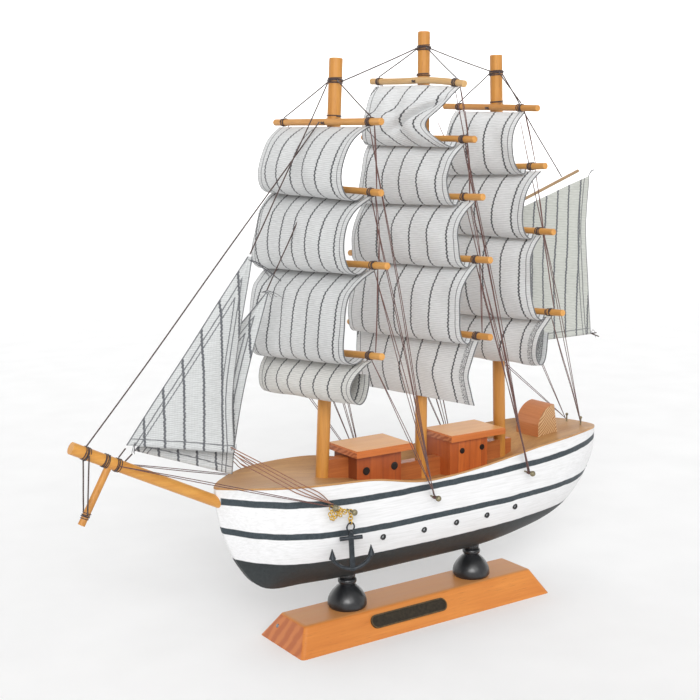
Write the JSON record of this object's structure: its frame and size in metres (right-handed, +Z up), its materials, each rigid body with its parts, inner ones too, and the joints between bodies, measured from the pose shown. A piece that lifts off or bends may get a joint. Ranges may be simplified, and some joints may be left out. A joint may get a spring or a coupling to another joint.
{
  "type": "model sailing ship",
  "caption": "Three-masted square-rigged wooden display ship with cloth sails, thread rigging, hanging anchors and a block stand on turned pedestals.",
  "frame": {"origin": "centre of the stand block's underside", "axes": "+Z up, -X toward the bow, +X toward the stern, -Y to port"},
  "size_m": [0.3316, 0.1234, 0.3121],
  "materials": {
    "base_wood": "satin varnish, dark straight grain",
    "plate_bronze": "dark aged",
    "pedestal_black": "black satin lacquer",
    "screw_steel": "plain",
    "hull_paint": "matte white paint with dark slate stripes and bottom",
    "deck_wood": "satin",
    "cabin_wood": "satin",
    "roof_wood": "satin",
    "spar_wood": "satin",
    "sail_cloth": "woven cotton with thin dark woven stripes",
    "thread": "twisted dark brown thread",
    "fitting_brass": "polished",
    "anchor_iron": "dark satin"
  },
  "bodies": {
    "ship": {"base_block": "base_wood", "name_plate": "plate_bronze", "pedestal_fore": "pedestal_black", "pedestal_aft": "pedestal_black", "stand_screws": "screw_steel", "hull": "hull_paint", "deck": "deck_wood", "fore_cabin_house": "cabin_wood", "fore_cabin_roof": "roof_wood", "aft_cabin_house": "cabin_wood", "aft_cabin_roof": "roof_wood", "cabin_portholes": "fitting_brass", "hull_portholes": "fitting_brass", "stern_block": "cabin_wood", "deck_strips": "roof_wood", "foremast": "spar_wood", "mainmast": "spar_wood", "mizzenmast": "spar_wood", "bowsprit": "spar_wood", "dolphin_striker": "spar_wood", "gaff": "spar_wood", "fore_yard_1": "spar_wood", "fore_yard_2": "spar_wood", "fore_yard_3": "spar_wood", "fore_yard_4": "spar_wood", "main_yard_1": "spar_wood", "main_yard_2": "spar_wood", "main_yard_3": "spar_wood", "main_yard_4": "spar_wood", "main_yard_5": "spar_wood", "mizzen_yard_1": "spar_wood", "mizzen_yard_2": "spar_wood", "mizzen_yard_3": "spar_wood", "mizzen_yard_4": "spar_wood", "fore_sail_1": "sail_cloth", "fore_sail_2": "sail_cloth", "fore_sail_3": "sail_cloth", "fore_sail_4": "sail_cloth", "main_sail_1": "sail_cloth", "main_sail_2": "sail_cloth", "main_sail_3": "sail_cloth", "main_sail_4": "sail_cloth", "main_sail_5": "sail_cloth", "mizzen_sail_1": "sail_cloth", "mizzen_sail_2": "sail_cloth", "mizzen_sail_3": "sail_cloth", "mizzen_sail_4": "sail_cloth", "outer_jib": "sail_cloth", "inner_jib": "sail_cloth", "spanker": "sail_cloth", "rigging_pins": "fitting_brass", "chain_loops": "fitting_brass", "lashings": "thread", "stays": "thread", "port_rigging": "thread", "starboard_rigging": "thread"},
    "port_chain": {"port_chain": "fitting_brass"},
    "port_anchor": {"port_anchor": "anchor_iron"},
    "starboard_chain": {"starboard_chain": "fitting_brass"},
    "starboard_anchor": {"starboard_anchor": "anchor_iron"}
  },
  "joints": [
    {"name": "port_chain_swing", "type": "hinge", "parent": "ship", "child": "port_chain", "pos_m": [-0.0615, -0.03114, 0.0764], "axis": [0, 1, 0], "range_deg": [-8, 8]},
    {"name": "port_anchor_swing", "type": "hinge", "parent": "port_chain", "child": "port_anchor", "pos_m": [-0.0615, -0.03114, 0.06956], "axis": [0, 1, 0], "range_deg": [-12, 12]},
    {"name": "starboard_chain_swing", "type": "hinge", "parent": "ship", "child": "starboard_chain", "pos_m": [-0.0615, 0.03114, 0.0764], "axis": [0, 1, 0], "range_deg": [-8, 8]},
    {"name": "starboard_anchor_swing", "type": "hinge", "parent": "starboard_chain", "child": "starboard_anchor", "pos_m": [-0.0615, 0.03114, 0.06956], "axis": [0, 1, 0], "range_deg": [-12, 12]}
  ]
}
